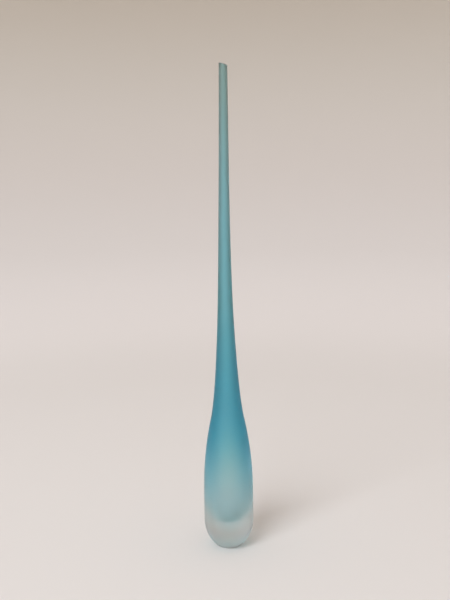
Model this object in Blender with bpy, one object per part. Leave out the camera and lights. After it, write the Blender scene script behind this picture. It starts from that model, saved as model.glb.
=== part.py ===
"""Tall hand-blown stem vase: a blue glass well cased in clear satin glass over a heavy clear base.

Units are metres and +Z is up. The origin is the middle of the flat ground foot, on the surface
that the vase stands on. +X is the low side of the slanted mouth. Nothing on the vase moves.
"""

import math

import bmesh
import bpy
from mathutils import Vector

# Outside form
HEIGHT = 0.650  # foot to the highest point of the cut mouth
BODY_RADIUS = 0.0338
FOOT_RADIUS = 0.0155  # the flat ground under the base
HEEL_HEIGHT = 0.038  # the base rounds up to the full body over this height
MOUTH_RADIUS = 0.0055
MOUTH_SLANT = math.radians(17)  # how far the mouth's cut leans down towards +X

# From the top of the heel (0) to the mouth (1): the body holds its width, then runs into the neck.
# The second number goes from the mouth's radius (0) to the body's radius (1).
OUTLINE_SHARES = (
    (0.000, 1.000),
    (0.061, 0.998),
    (0.101, 0.980),
    (0.143, 0.914),
    (0.183, 0.807),
    (0.216, 0.682),
    (0.249, 0.541),
    (0.290, 0.430),
    (0.346, 0.330),
    (0.428, 0.220),
    (0.526, 0.139),
    (0.640, 0.086),
    (0.755, 0.049),
    (0.869, 0.025),
    (1.000, 0.000),
)

# The neck was drawn out by hand and bows a little towards -X between the shoulder and the mouth.
NECK_BOW = 0.0012
BOW_START_HEIGHT = 0.125

# Glass layers. Each wall is thick in the body and thins as the neck was pulled.
CASING_WALL_BODY = 0.0075
CASING_WALL_MOUTH = 0.0012
BLUE_WALL_BODY = 0.0020
BLUE_WALL_MOUTH = 0.0008
LAYER_GAP = 0.0003  # clearance that keeps the two fused layers separate solids

# The well inside: a long round-ended drop
BASE_THICKNESS = 0.0345  # clear glass under the tip of the blue layer
WELL_ROUNDING_HEIGHT = 0.040  # the well's round end, from its tip to its full width

# Facets
SIDES = 36
HEEL_RINGS = 6
BODY_RINGS = 10
NECK_RINGS = 9
WELL_RINGS = 7
NECK_START_SHARE = 0.305  # share of the outline below which rings are close together
CUT_OVERRUN = 0.004  # neck lathed past the mouth, which the slanting cut takes off
MERGE_DISTANCE = 0.00001
SHARP_ANGLE = math.radians(35)  # edges bent more than this, at the foot and the mouth, stay crisp

# Colours: linear RGB and alpha
BLUE = (0.075, 0.36, 0.48, 0.85)
CLEAR = (0.62, 0.72, 0.71, 0.45)
SATIN_ROUGHNESS = 0.42
POLISHED_ROUGHNESS = 0.08


def curve_slopes(points):
    """Slopes that carry a smooth curve through the points without overshooting any of them."""
    steps = [(b[1] - a[1]) / (b[0] - a[0]) for a, b in zip(points, points[1:])]
    inner = [0 if a * b <= 0 else 2 * a * b / (a + b) for a, b in zip(steps, steps[1:])]
    return [0, *inner, steps[-1]]


OUTLINE_SLOPES = curve_slopes(OUTLINE_SHARES)


def outline_share(height_share):
    """How far the outside is from the mouth's radius (0) to the body's (1) at a height share."""
    last = len(OUTLINE_SHARES) - 2
    i = min(sum(height_share >= x for x, _ in OUTLINE_SHARES[1:]), last)
    (x0, y0), (x1, y1) = OUTLINE_SHARES[i : i + 2]
    width = x1 - x0
    t = (height_share - x0) / width
    start, end = OUTLINE_SLOPES[i] * width, OUTLINE_SLOPES[i + 1] * width
    bend = start + end - 2 * (y1 - y0)
    return y0 + t * (start + t * (3 * (y1 - y0) - 2 * start - end + t * bend))


def body_share(z):
    """1 where the vase has its full body radius, falling to 0 at the mouth."""
    return outline_share(max(z - HEEL_HEIGHT, 0) / (HEIGHT - HEEL_HEIGHT))


def outer_radius(z):
    """Radius of the outside at a height: an elliptical heel on the foot, then the outline."""
    drop = max(HEEL_HEIGHT - z, 0) / HEEL_HEIGHT
    narrowing = 1 - (FOOT_RADIUS / BODY_RADIUS) ** 2
    heel = math.sqrt(1 - narrowing * drop**2)
    return heel * (MOUTH_RADIUS + (BODY_RADIUS - MOUTH_RADIUS) * body_share(z))


def between(mouth_size, body_size, z):
    """A wall thickness that goes from its body size to its mouth size as the vase narrows."""
    return mouth_size + (body_size - mouth_size) * body_share(z)


def casing_wall(z):
    return between(CASING_WALL_MOUTH, CASING_WALL_BODY, z)


def blue_wall(z):
    return between(BLUE_WALL_MOUTH, BLUE_WALL_BODY, z)


def well_radius(z, inset, tip_height):
    """Radius of a surface inside the casing: inset from the casing's own wall, rounded at its tip."""
    full_height = BASE_THICKNESS + WELL_ROUNDING_HEIGHT
    below = max(full_height - z, 0) / (full_height - tip_height)
    rounding = math.sqrt(max(1 - below**2, 0))
    return rounding * (outer_radius(z) - casing_wall(z) - inset)


def neck_axis(z):
    """Sideways place of the vase's middle line at a height."""
    share = max(z - BOW_START_HEIGHT, 0) / (HEIGHT - BOW_START_HEIGHT)
    return -NECK_BOW * math.sin(math.pi * share) ** 2


def steps(start, end, count):
    """Evenly spaced values after start, up to and with end."""
    return [start + (end - start) * i / count for i in range(1, count + 1)]


MOUTH_HEIGHT = HEIGHT - MOUTH_RADIUS * math.tan(MOUTH_SLANT)  # middle of the slanting cut
NECK_START = HEEL_HEIGHT + NECK_START_SHARE * (HEIGHT - HEEL_HEIGHT)


def upper_heights(start):
    """Ring heights from a start in the body to a little above the mouth."""
    body = steps(start, NECK_START, BODY_RINGS)
    return body + steps(NECK_START, MOUTH_HEIGHT, NECK_RINGS)[:-1] + [HEIGHT + CUT_OVERRUN]


def outside_profile():
    """(radius, height) points from the foot's middle, up the outside, to above the mouth."""
    turns = steps(math.asin(FOOT_RADIUS / BODY_RADIUS), math.pi / 2, HEEL_RINGS)
    reach = HEEL_HEIGHT / math.cos(math.asin(FOOT_RADIUS / BODY_RADIUS))
    heel = [HEEL_HEIGHT - reach * math.cos(turn) for turn in turns]
    heights = [0, *heel, *upper_heights(HEEL_HEIGHT)]
    return [(0, 0)] + [(outer_radius(z), z) for z in heights]


def well_profile(inset, floor):
    """The same for a surface inside the casing, from its tip at the height floor."""
    full_height = BASE_THICKNESS + WELL_ROUNDING_HEIGHT
    turns = steps(0, math.pi / 2, WELL_RINGS)
    rounded = [full_height - (full_height - floor) * math.cos(turn) for turn in turns]
    heights = [*rounded, *upper_heights(full_height)]
    wall = [(well_radius(z, inset(z), floor), z) for z in heights]
    return [(0, floor)] + wall


def lathe(bm, profile):
    """Turns a profile of (radius, height) points about the vase's axis."""
    points = [bm.verts.new((radius, 0, z)) for radius, z in profile]
    edges = [bm.edges.new(pair) for pair in zip(points, points[1:])]
    bmesh.ops.spin(
        bm,
        geom=points + edges,
        cent=Vector(),
        axis=Vector((0, 0, 1)),
        angle=2 * math.pi,
        steps=SIDES,
        use_merge=True,
    )


def glass_layer(name, outside, inside, material):
    """One closed layer of glass between two turned surfaces, with the mouth cut on the slant."""
    bm = bmesh.new()
    lathe(bm, outside)
    lathe(bm, inside[::-1])  # the other way up, so that it faces the hollow
    bmesh.ops.remove_doubles(bm, verts=bm.verts, dist=MERGE_DISTANCE)
    bmesh.ops.bisect_plane(
        bm,
        geom=bm.verts[:] + bm.edges[:] + bm.faces[:],
        dist=MERGE_DISTANCE,
        plane_co=(0, 0, MOUTH_HEIGHT),
        plane_no=(math.sin(MOUTH_SLANT), 0, math.cos(MOUTH_SLANT)),
        clear_outer=True,
    )
    rims = [edge for edge in bm.edges if edge.is_boundary]
    bmesh.ops.bridge_loops(bm, edges=rims)
    for vert in bm.verts:
        vert.co.x += neck_axis(vert.co.z)
    bmesh.ops.recalc_face_normals(bm, faces=bm.faces)
    mesh = bpy.data.meshes.new(name)
    bm.to_mesh(mesh)
    bm.free()
    mesh.shade_smooth()
    mesh.set_sharp_from_angle(angle=SHARP_ANGLE)
    mesh.materials.append(material)
    bpy.context.collection.objects.link(bpy.data.objects.new(name, mesh))


def glass(name, colour, roughness):
    """A see-through Principled material."""
    material = bpy.data.materials.new(name)
    material.use_nodes = True
    shader = material.node_tree.nodes["Principled BSDF"]
    shader.inputs["Base Color"].default_value = colour
    shader.inputs["Roughness"].default_value = roughness
    shader.inputs["Metallic"].default_value = 0.0
    shader.inputs["Alpha"].default_value = colour[3]
    return material


def clear_casing():
    """The outer gather of clear glass: satin outside, and solid under the well as a heavy base."""
    inside = well_profile(lambda z: 0, BASE_THICKNESS)
    material = glass("clear_satin_glass", CLEAR, SATIN_ROUGHNESS)
    glass_layer("clear_casing", outside_profile(), inside, material)


def blue_inner_layer():
    """The blown bubble of blue glass that lines the casing and holds the water."""
    outside = well_profile(lambda z: LAYER_GAP, BASE_THICKNESS + LAYER_GAP)
    floor = BASE_THICKNESS + LAYER_GAP + BLUE_WALL_BODY
    inside = well_profile(lambda z: LAYER_GAP + blue_wall(z), floor)
    material = glass("blue_glass", BLUE, POLISHED_ROUGHNESS)
    glass_layer("blue_inner_layer", outside, inside, material)


def main():
    for old in list(bpy.data.objects):
        bpy.data.objects.remove(old)
    clear_casing()
    blue_inner_layer()


main()
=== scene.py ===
"""Looks of the tall blue stem vase: fused clear and blue glass with a satin skin, in a pale studio.

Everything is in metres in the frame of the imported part. The glass is turned again with fine
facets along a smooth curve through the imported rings, so that it follows the solids.
"""

import math

import bpy
from mathutils import Matrix, Vector
from mathutils.geometry import interpolate_bezier


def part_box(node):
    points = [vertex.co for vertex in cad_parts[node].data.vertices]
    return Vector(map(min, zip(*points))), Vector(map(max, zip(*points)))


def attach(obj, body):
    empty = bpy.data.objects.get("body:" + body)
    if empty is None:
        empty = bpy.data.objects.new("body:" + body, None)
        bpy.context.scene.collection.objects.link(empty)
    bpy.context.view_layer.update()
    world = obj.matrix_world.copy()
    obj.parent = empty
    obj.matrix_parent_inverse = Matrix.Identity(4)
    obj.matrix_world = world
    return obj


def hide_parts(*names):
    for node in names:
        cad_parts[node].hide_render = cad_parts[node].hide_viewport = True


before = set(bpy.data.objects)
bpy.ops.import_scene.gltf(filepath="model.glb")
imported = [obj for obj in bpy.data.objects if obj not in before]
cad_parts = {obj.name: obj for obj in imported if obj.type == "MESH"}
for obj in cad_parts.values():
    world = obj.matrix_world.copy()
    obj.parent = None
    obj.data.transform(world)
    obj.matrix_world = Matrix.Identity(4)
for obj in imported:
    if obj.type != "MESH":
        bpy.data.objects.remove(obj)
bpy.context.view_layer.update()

# Turned glass
SIDES = 96
RING_SPACING = 0.0035
LEAST_STEPS = 2  # from one packed ring to the next
HANDLES_PER_STRETCH = 3  # a smooth curve's handle reaches a third of the way to the next ring
CORNER_STEPS = 4
CORNER_EASE_SHARE = 0.55  # how far a rounded corner's handles reach towards the sharp corner
AXIS_POINT = 0.00003  # a ring narrower than this closes to a point
FUSED_GAP = 0.00003  # the two glasses meet: no gap shows at the rim
BLUE_TIP_WALL = 0.0020  # blue glass at the bottom of the well
FOOT_EDGE_ROUNDING = 0.0012
MOUTH_BEVEL = 0.0007
RIM_EDGE_ROUNDING = 0.0003
MOUTH_SLANT = math.radians(17)
LEAN_LENGTH = 0.020  # the rings below the mouth tilt gradually into its slant

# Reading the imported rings
RING_POINTS = 36  # points in a whole ring, which leaves out what the slanting cut crosses
SAME_HEIGHT = 0.00002  # points this close in height are one ring
SIDEWAYS = 0.05  # least part of a point's normal that faces away from the axis, or towards it
BOX_MARGIN = 0.00001  # the turned glass stays this far within the solid's widest radius

# Glass
GLASS_IOR = 1.5
MELTED_IOR = 1.0  # light goes straight on where the two glasses are melted together
SATIN_SMOOTHEST = 0.42
SATIN_ROUGHEST = 0.60
SATIN_CLEARNESS = 0.90
WELL_ROUGHNESS = 0.65
RIM_ROUGHNESS = 0.7
FOOT_ROUGHNESS = 0.9
FOOT_CLEARNESS = 0.3
ETCHED_PATCH = 0.008  # size of the patches in which the roughness wanders
GROUND_PATCH = 0.002
PATCH_DETAIL = 5
PATCH_LOW = 0.3  # the noise of the patches stays mostly between these
PATCH_HIGH = 0.7
SLANT_BLEND = 0.9  # half way from the middle to the edge, half of the colour is the slanting one

# Sockets of a colour mix, by number because their names repeat
MIX_FACTOR = 0
MIX_FIRST = 6
MIX_SECOND = 7
MIX_RESULT = 2

# Heights, and linear colours of light that has gone in and out through a surface; the skin's two
# tables also hold painted shade and light
# Painted shade: from 0.004 to 0.040 the clear base is tinted greyer and darker than clear glass
SKIN_STRAIGHT_WITH_PAINTED_SHADE = [
    (0.000, (1.00, 1.00, 1.00)),
    (0.004, (0.60, 0.98, 0.92)),
    (0.010, (0.30, 0.61, 0.55)),
    (0.026, (0.70, 0.56, 0.57)),
    (0.040, (0.57, 0.89, 0.95)),
    (0.063, (0.74, 0.84, 0.93)),
    (0.099, (0.75, 0.88, 0.84)),
    (0.149, (0.27, 0.75, 0.84)),
    (0.190, (0.23, 0.64, 0.80)),
    (0.260, (0.23, 0.69, 0.82)),
    (0.340, (0.40, 0.74, 0.84)),
    (0.475, (0.38, 0.81, 0.94)),
    (0.650, (0.44, 0.61, 0.56)),
]
# Partly real, partly painted: a longer path at a slant deepens the blue, but the edges are also
# painted greyer and darker up the blue part and lighter at the clear base, and the top two stops
# paint a dark line along the mouth's edge
SKIN_SLANTING_WITH_PAINTED_EDGES = [
    (0.000, (1.00, 1.00, 1.00)),
    (0.004, (1.00, 1.00, 1.00)),
    (0.010, (0.72, 0.82, 0.84)),
    (0.026, (0.70, 0.65, 0.66)),
    (0.040, (0.80, 0.83, 0.79)),
    (0.063, (0.67, 0.84, 0.90)),
    (0.099, (0.32, 0.76, 0.90)),
    (0.149, (0.02, 0.47, 0.70)),
    (0.190, (0.05, 0.50, 0.65)),
    (0.260, (0.08, 0.39, 0.54)),
    (0.340, (0.18, 0.46, 0.48)),
    (0.475, (0.32, 0.49, 0.54)),
    (0.638, (0.41, 0.50, 0.46)),
    (0.650, (0.18, 0.22, 0.20)),
]
BLUE_COLOURS = [
    (0.035, (0.64, 0.97, 1.00)),
    (0.060, (0.75, 0.95, 0.97)),
    (0.099, (0.80, 0.95, 0.97)),
    (0.149, (0.60, 0.90, 0.95)),
    (0.190, (0.50, 0.88, 0.95)),
    (0.260, (0.50, 0.90, 0.95)),
    (0.340, (0.60, 0.92, 0.95)),
    (0.475, (0.80, 0.95, 0.97)),
    (0.650, (0.85, 0.95, 0.97)),
]
WELL_COLOURS = [
    (0.035, (0.90, 0.95, 0.95)),
    (0.650, (0.95, 0.97, 0.97)),
]

# Two tones of a ground surface, linear
CLEAR_RIM_TONES = [(0.31, 0.34, 0.33), (0.37, 0.40, 0.39)]
BLUE_RIM_TONES = [(0.05, 0.22, 0.31), (0.07, 0.28, 0.37)]
FOOT_TONES = [(0.92, 0.94, 0.93), (0.98, 1.00, 0.99)]

# Camera, fitted to the vase's outline in the photograph
CAMERA_PLACE = (0, -1.1001, 0.5009)
CAMERA_PITCH = math.radians(8.205)
CAMERA_YAW = math.radians(-0.071)
CAMERA_ROLL = math.radians(-0.788)
LENS_MM = 50

# Studio
ROOM_RADIUS = 3.3
SWEEP_RADIUS = 2.3  # the floor curves up into the wall over this
WALL_TOP = 2.6
ROOM_SIDES = 96
SWEEP_STEPS = 16
KEY_PLACE = (-1.85, -3.3, 3.2)
KEY_AIM = (0, 0, 0.15)
KEY_WIDTH = 2.8
KEY_HEIGHT = 2.1
KEY_WATTS = 270
KEY_COLOUR = (0.88, 0.95, 1.00)
ROOM_LIGHT_COLOUR = (1.0, 0.925, 0.855)
ROOM_LIGHT_STRENGTH = 0.77
PAPER_ROUGHNESS = 0.9
PAPER_SHINE = 0.2
LIGHT_BOUNCES = 32
# Painted light and shade: the paper is lighter where the floor starts to curve up, then browner and
# darker towards the top
PAPER_COLOURS_WITH_PAINTED_SHADE = [
    (0.00, (0.724, 0.690, 0.678)),
    (0.06, (0.783, 0.740, 0.737)),
    (0.24, (0.678, 0.641, 0.633)),
    (0.54, (0.623, 0.572, 0.550)),
    (0.91, (0.575, 0.533, 0.495)),
    (1.36, (0.472, 0.416, 0.361)),
    (1.60, (0.434, 0.371, 0.309)),
]


def packed_rings(node, side):
    """Rings up the outside (side 1) or the inside (side -1) of a packed layer.

    Each is a Vector of its radius, its middle's sideways shift along X, and its height.
    """
    found = {}
    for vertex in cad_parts[node].data.vertices:
        across = Vector((vertex.co.x, vertex.co.y)).normalized()
        if vertex.normal.xy.dot(across) * side > SIDEWAYS:
            found.setdefault(round(vertex.co.z / SAME_HEIGHT), []).append(vertex.co)
    rings = []
    for points in found.values():
        if len(points) >= RING_POINTS:
            shift = sum(p.x for p in points) / len(points)
            radius = sum(math.hypot(p.x - shift, p.y) for p in points) / len(points)
            rings.append(Vector((radius, shift, points[0].z)))
    return sorted(rings, key=lambda ring: ring.z)


def direction(before, point, after):
    """Direction of a smooth curve at a point, from its neighbours; the near one counts more."""
    to_point, onward = point - before, after - point
    near, far = to_point.length, onward.length
    return (to_point * far / near + onward * near / far).normalized()


def smooth_line(rings, first_before, top):
    """Rings close together on a smooth curve through the given ones, on to a top height.

    The curve starts as if it came from the ring first_before.
    """
    slope = (rings[-1] - rings[-2]) / (rings[-1].z - rings[-2].z)
    last = rings[-1] + slope * (top - rings[-1].z)
    knots = [first_before, *rings, last, last + slope * RING_SPACING]
    line = []
    for before, start, end, after in zip(knots, knots[1:], knots[2:], knots[3:]):
        length = (end - start).length
        reach = length / HANDLES_PER_STRETCH
        count = max(LEAST_STEPS, math.ceil(length / RING_SPACING))
        handle = start + direction(before, start, end) * reach
        other = end - direction(start, end, after) * reach
        line += interpolate_bezier(start, handle, other, end, count + 1)[:-1]
    widest = max(ring.x for ring in rings) - BOX_MARGIN
    for ring in line:
        ring.x = min(ring.x, widest)  # the curve may not swell past the solid
    return [*line, last]


def corner(before, point, after, rounding):
    """A few rings that round off a corner."""
    start = point + (before - point).normalized() * rounding
    end = point + (after - point).normalized() * rounding
    handle = start.lerp(point, CORNER_EASE_SHARE)
    other = end.lerp(point, CORNER_EASE_SHARE)
    return interpolate_bezier(start, handle, other, end, CORNER_STEPS + 1)


def well_line(tip, node, side, top):
    """A surface of the well, from its rounded tip to the mouth."""
    rings = packed_rings(node, side)
    across = Vector((-rings[0].x, 0, rings[0].z))  # the first ring's far side, so the tip is level
    return smooth_line([Vector((0, 0, tip)), *rings], across, top)


def lean(point, top):
    """Tilts what is near the mouth into the slant of its cut."""
    share = min(max((point.z - top) / LEAN_LENGTH + 1, 0), 1)
    point.z -= share * share * point.x * math.tan(MOUTH_SLANT)
    return point


def turned(name, zones, top, materials):
    """A closed turned piece. Zones are lists of rings, joined end to end, with a material each."""
    points = []
    faces = []
    owners = []
    previous = None
    for zone, rings in enumerate(zones):
        for ring in rings:
            radius, shift, height = ring
            if radius < AXIS_POINT:
                current = [len(points)] * SIDES
                points.append(lean(Vector((shift, 0, height)), top))
            else:
                current = [len(points) + i for i in range(SIDES)]
                for i in range(SIDES):
                    turn = 2 * math.pi * i / SIDES
                    across = Vector((math.cos(turn), math.sin(turn), 0)) * radius
                    points.append(lean(across + Vector((shift, 0, height)), top))
            if previous:
                for i in range(SIDES):
                    j = (i + 1) % SIDES
                    face = [previous[i], previous[j], current[j], current[i]]
                    faces.append(list(dict.fromkeys(face)))  # a triangle where a ring is a point
                    owners.append(zone)
            previous = current
    mesh = bpy.data.meshes.new(name)
    mesh.from_pydata(points, [], faces)
    mesh.validate()
    mesh.shade_smooth()
    for material in materials:
        mesh.materials.append(material)
    mesh.polygons.foreach_set("material_index", owners)
    piece = bpy.data.objects.new(name, mesh)
    bpy.context.collection.objects.link(piece)
    return piece


def casing_zones(top):
    """Foot with its ground edge, skin, rim, and the surface where the clear meets the blue."""
    rings = packed_rings("clear_casing", 1)
    foot = rings[0]
    below = foot * 2 - rings[1]  # the next ring mirrored in the foot's
    skin = smooth_line(rings, below, top)
    gap = Vector((FUSED_GAP, 0, -FUSED_GAP))
    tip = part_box("blue_inner_layer")[0].z
    meeting = [ring + gap for ring in well_line(tip, "blue_inner_layer", 1, top)]
    meeting[0].x = 0  # the gap is across the wall, but the tip stays on the axis
    meeting[-1].z = top
    foot_middle = Vector((0, 0, 0))
    foot_corner = corner(foot_middle, foot, skin[1], FOOT_EDGE_ROUNDING)
    outer_corner = corner(skin[-2], skin[-1], meeting[-1], MOUTH_BEVEL)
    inner_corner = corner(skin[-1], meeting[-1], meeting[-2], FUSED_GAP)
    outside = [*skin[2:-1], outer_corner[0]]
    rim = [*outer_corner[1:], *inner_corner]
    return [[foot_middle, *foot_corner, skin[1]], outside, rim, meeting[-2::-1]]


def lining_zones(top):
    """The surface that meets the clear glass, the rim, and then the inside of the well."""
    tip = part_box("blue_inner_layer")[0].z
    meeting = well_line(tip, "blue_inner_layer", 1, top)
    bore = well_line(tip + BLUE_TIP_WALL, "blue_inner_layer", -1, top)
    outer_corner = corner(meeting[-2], meeting[-1], bore[-1], FUSED_GAP)
    inner_corner = corner(meeting[-1], bore[-1], bore[-2], RIM_EDGE_ROUNDING)
    return [[*meeting[:-1], outer_corner[0]], [*outer_corner[1:], *inner_corner], bore[-2::-1]]


def new_material(name):
    """A new material, its shader, and the nodes and links of its tree."""
    material = bpy.data.materials.new(name)
    material.use_nodes = True
    nodes, links = material.node_tree.nodes, material.node_tree.links
    return material, nodes["Principled BSDF"], nodes, links


def by_height(nodes, links, stops):
    """A colour that changes up a piece. Stops are pairs of a height and a linear colour."""
    place = nodes.new("ShaderNodeTexCoord")
    parts = nodes.new("ShaderNodeSeparateXYZ")
    share = nodes.new("ShaderNodeMapRange")
    ramp = nodes.new("ShaderNodeValToRGB")
    links.new(place.outputs["Object"], parts.inputs["Vector"])
    links.new(parts.outputs["Z"], share.inputs["Value"])
    links.new(share.outputs["Result"], ramp.inputs["Fac"])
    height = stops[-1][0]
    share.inputs["From Max"].default_value = height
    ramp.color_ramp.interpolation = "B_SPLINE"
    elements = ramp.color_ramp.elements
    while len(elements) < len(stops):
        elements.new(0)
    for element, (at, colour) in zip(elements, stops):
        element.position = at / height
        element.color = (*colour, 1)
    return ramp.outputs["Color"]


def mixed(nodes, links, factor, first, second):
    """The first colour where the factor is 0 and the second where it is 1."""
    mix = nodes.new("ShaderNodeMix")
    mix.data_type = "RGBA"
    links.new(factor, mix.inputs[MIX_FACTOR])
    links.new(first, mix.inputs[MIX_FIRST])
    links.new(second, mix.inputs[MIX_SECOND])
    return mix.outputs[MIX_RESULT]


def patches(nodes, links, size, low, high):
    """A number that wanders between two values in soft patches of about a size."""
    place = nodes.new("ShaderNodeTexCoord")
    noise = nodes.new("ShaderNodeTexNoise")
    spread = nodes.new("ShaderNodeMapRange")
    noise.inputs["Scale"].default_value = 1 / size
    noise.inputs["Detail"].default_value = PATCH_DETAIL
    spread.inputs["From Min"].default_value = PATCH_LOW
    spread.inputs["From Max"].default_value = PATCH_HIGH
    spread.inputs["To Min"].default_value = low
    spread.inputs["To Max"].default_value = high
    links.new(place.outputs["Object"], noise.inputs["Vector"])
    links.new(noise.outputs["Fac"], spread.inputs["Value"])
    return spread.outputs["Result"]


def satin_glass_with_painted_shade():
    """The outside: clear glass that was etched by hand, so its roughness wanders a little.

    Where light crosses the wall at a slant it goes a longer way through the glass, so it takes on
    the slant colour there. Both colours also hold painted shade: the clear base is greyer and
    darker, and the edges are greyer and darker up the blue part, lighter at the base, dark along
    the mouth.
    """
    material, shader, nodes, links = new_material("satin_clear_glass_with_painted_shade")
    shader.inputs["Transmission Weight"].default_value = SATIN_CLEARNESS
    shader.inputs["IOR"].default_value = GLASS_IOR
    slant = nodes.new("ShaderNodeLayerWeight")
    slant.inputs["Blend"].default_value = SLANT_BLEND
    straight_with_painted_shade = by_height(nodes, links, SKIN_STRAIGHT_WITH_PAINTED_SHADE)
    slanting_with_painted_edges = by_height(nodes, links, SKIN_SLANTING_WITH_PAINTED_EDGES)
    colour = mixed(nodes, links, slant.outputs["Facing"], straight_with_painted_shade, slanting_with_painted_edges)
    etching = patches(nodes, links, ETCHED_PATCH, SATIN_SMOOTHEST, SATIN_ROUGHEST)
    links.new(colour, shader.inputs["Base Color"])
    links.new(etching, shader.inputs["Roughness"])
    return material


def melted_surface():
    """The clear side of the surface where the two glasses are melted together: nothing shows."""
    material, shader, _, _ = new_material("melted_surface")
    shader.inputs["Alpha"].default_value = 0
    return material


def blue_glass():
    """The blue side of the same surface, which tints what goes through."""
    material, shader, nodes, links = new_material("blue_glass")
    shader.inputs["Transmission Weight"].default_value = 1
    shader.inputs["Roughness"].default_value = 0
    shader.inputs["IOR"].default_value = MELTED_IOR
    links.new(by_height(nodes, links, BLUE_COLOURS), shader.inputs["Base Color"])
    return material


def etched_well():
    """The inside, which the acid also made matt."""
    material, shader, nodes, links = new_material("etched_well")
    shader.inputs["Transmission Weight"].default_value = 1
    shader.inputs["Roughness"].default_value = WELL_ROUGHNESS
    shader.inputs["IOR"].default_value = GLASS_IOR
    links.new(by_height(nodes, links, WELL_COLOURS), shader.inputs["Base Color"])
    return material


def ground_glass(name, tones, clearness, roughness):
    """Glass that was ground flat, in two tones that wander over it."""
    material, shader, nodes, links = new_material(name)
    shader.inputs["Transmission Weight"].default_value = clearness
    shader.inputs["Roughness"].default_value = roughness
    shader.inputs["IOR"].default_value = GLASS_IOR
    ramp = nodes.new("ShaderNodeValToRGB")
    for element, tone in zip(ramp.color_ramp.elements, tones):
        element.color = (*tone, 1)
    links.new(patches(nodes, links, GROUND_PATCH, 0, 1), ramp.inputs["Fac"])
    links.new(ramp.outputs["Color"], shader.inputs["Base Color"])
    return material


def make_vase():
    """The two layers of glass, up to the middle of the slanting cut at the mouth."""
    rim_radius = packed_rings("clear_casing", 1)[-1].x
    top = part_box("clear_casing")[1].z - rim_radius * math.tan(MOUTH_SLANT)
    foot = ground_glass("ground_foot", FOOT_TONES, FOOT_CLEARNESS, FOOT_ROUGHNESS)
    clear_rim = ground_glass("ground_clear_rim", CLEAR_RIM_TONES, SATIN_CLEARNESS, RIM_ROUGHNESS)
    blue_rim = ground_glass("ground_blue_rim", BLUE_RIM_TONES, SATIN_CLEARNESS, RIM_ROUGHNESS)
    casing_materials = [foot, satin_glass_with_painted_shade(), clear_rim, melted_surface()]
    lining_materials = [blue_glass(), blue_rim, etched_well()]
    casing = turned("satin_casing", casing_zones(top), top, casing_materials)
    lining = turned("blue_lining", lining_zones(top), top, lining_materials)
    for piece, node, slot in (
        (casing, "clear_casing", "clear_glass"),
        (lining, "blue_inner_layer", "blue_glass"),
    ):
        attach(piece, "root")
        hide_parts(node)


def paper():
    """Matt backdrop paper with painted light and shade: lighter where the floor curves up, browner
    and darker towards the top.
    """
    material, shader, nodes, links = new_material("pale_paper_with_painted_shade")
    shader.inputs["Roughness"].default_value = PAPER_ROUGHNESS
    shader.inputs["Specular IOR Level"].default_value = PAPER_SHINE
    links.new(by_height(nodes, links, PAPER_COLOURS_WITH_PAINTED_SHADE), shader.inputs["Base Color"])
    return material


def make_room():
    """A round floor that sweeps up into a wall all round, so every side has the same backdrop."""
    sweep_start = ROOM_RADIUS - SWEEP_RADIUS
    outline = [(0.0, 0.0), (sweep_start / 2, 0.0)]
    for i in range(SWEEP_STEPS + 1):
        turn = math.pi / 2 * i / SWEEP_STEPS
        outline.append(
            (sweep_start + SWEEP_RADIUS * math.sin(turn), SWEEP_RADIUS * (1 - math.cos(turn)))
        )
    outline.append((ROOM_RADIUS, WALL_TOP))
    points, faces = [(0, 0, 0)], []
    for radius, height in outline[1:]:
        for i in range(ROOM_SIDES):
            turn = 2 * math.pi * i / ROOM_SIDES
            points.append((radius * math.cos(turn), radius * math.sin(turn), height))
    for i in range(ROOM_SIDES):
        faces.append((0, 1 + i, 1 + (i + 1) % ROOM_SIDES))
    for ring in range(len(outline) - 2):
        base = 1 + ring * ROOM_SIDES
        for i in range(ROOM_SIDES):
            j = (i + 1) % ROOM_SIDES
            faces.append((base + i, base + ROOM_SIDES + i, base + ROOM_SIDES + j, base + j))
    mesh = bpy.data.meshes.new("floor_and_backdrop")
    mesh.from_pydata(points, [], faces)
    mesh.shade_smooth()
    mesh.materials.append(paper())
    room = bpy.data.objects.new("floor_and_backdrop", mesh)
    bpy.context.collection.objects.link(room)


def make_light():
    """A wide soft lamp from the left and in front, and light from all round the room."""
    world = bpy.data.worlds.new("room_light")
    world.use_nodes = True
    background = world.node_tree.nodes["Background"]
    background.inputs["Color"].default_value = (*ROOM_LIGHT_COLOUR, 1)
    background.inputs["Strength"].default_value = ROOM_LIGHT_STRENGTH
    bpy.context.scene.world = world
    key = bpy.data.lights.new("key", "AREA")
    key.shape = "ELLIPSE"
    key.size = KEY_WIDTH
    key.size_y = KEY_HEIGHT
    key.energy = KEY_WATTS
    key.color = KEY_COLOUR
    holder = bpy.data.objects.new("key", key)
    holder.location = KEY_PLACE
    aim = Vector(KEY_AIM) - Vector(KEY_PLACE)
    holder.rotation_euler = aim.to_track_quat("-Z", "Y").to_euler()
    bpy.context.collection.objects.link(holder)


def make_camera():
    """The photograph's view, from above the vase's middle and tipped down a little."""
    data = bpy.data.cameras.new("camera")
    data.lens = LENS_MM
    camera = bpy.data.objects.new("camera", data)
    turn = Matrix.Rotation(-CAMERA_YAW, 4, "Z")
    tip = Matrix.Rotation(math.pi / 2 - CAMERA_PITCH, 4, "X")
    roll = Matrix.Rotation(CAMERA_ROLL, 4, "Z")
    camera.matrix_world = Matrix.Translation(CAMERA_PLACE) @ turn @ tip @ roll
    bpy.context.collection.objects.link(camera)
    bpy.context.scene.camera = camera


scene = bpy.context.scene
scene.view_settings.view_transform = "Standard"
scene.cycles.max_bounces = LIGHT_BOUNCES
scene.cycles.transmission_bounces = LIGHT_BOUNCES
scene.cycles.transparent_max_bounces = LIGHT_BOUNCES
make_camera()
make_light()
make_room()
make_vase()
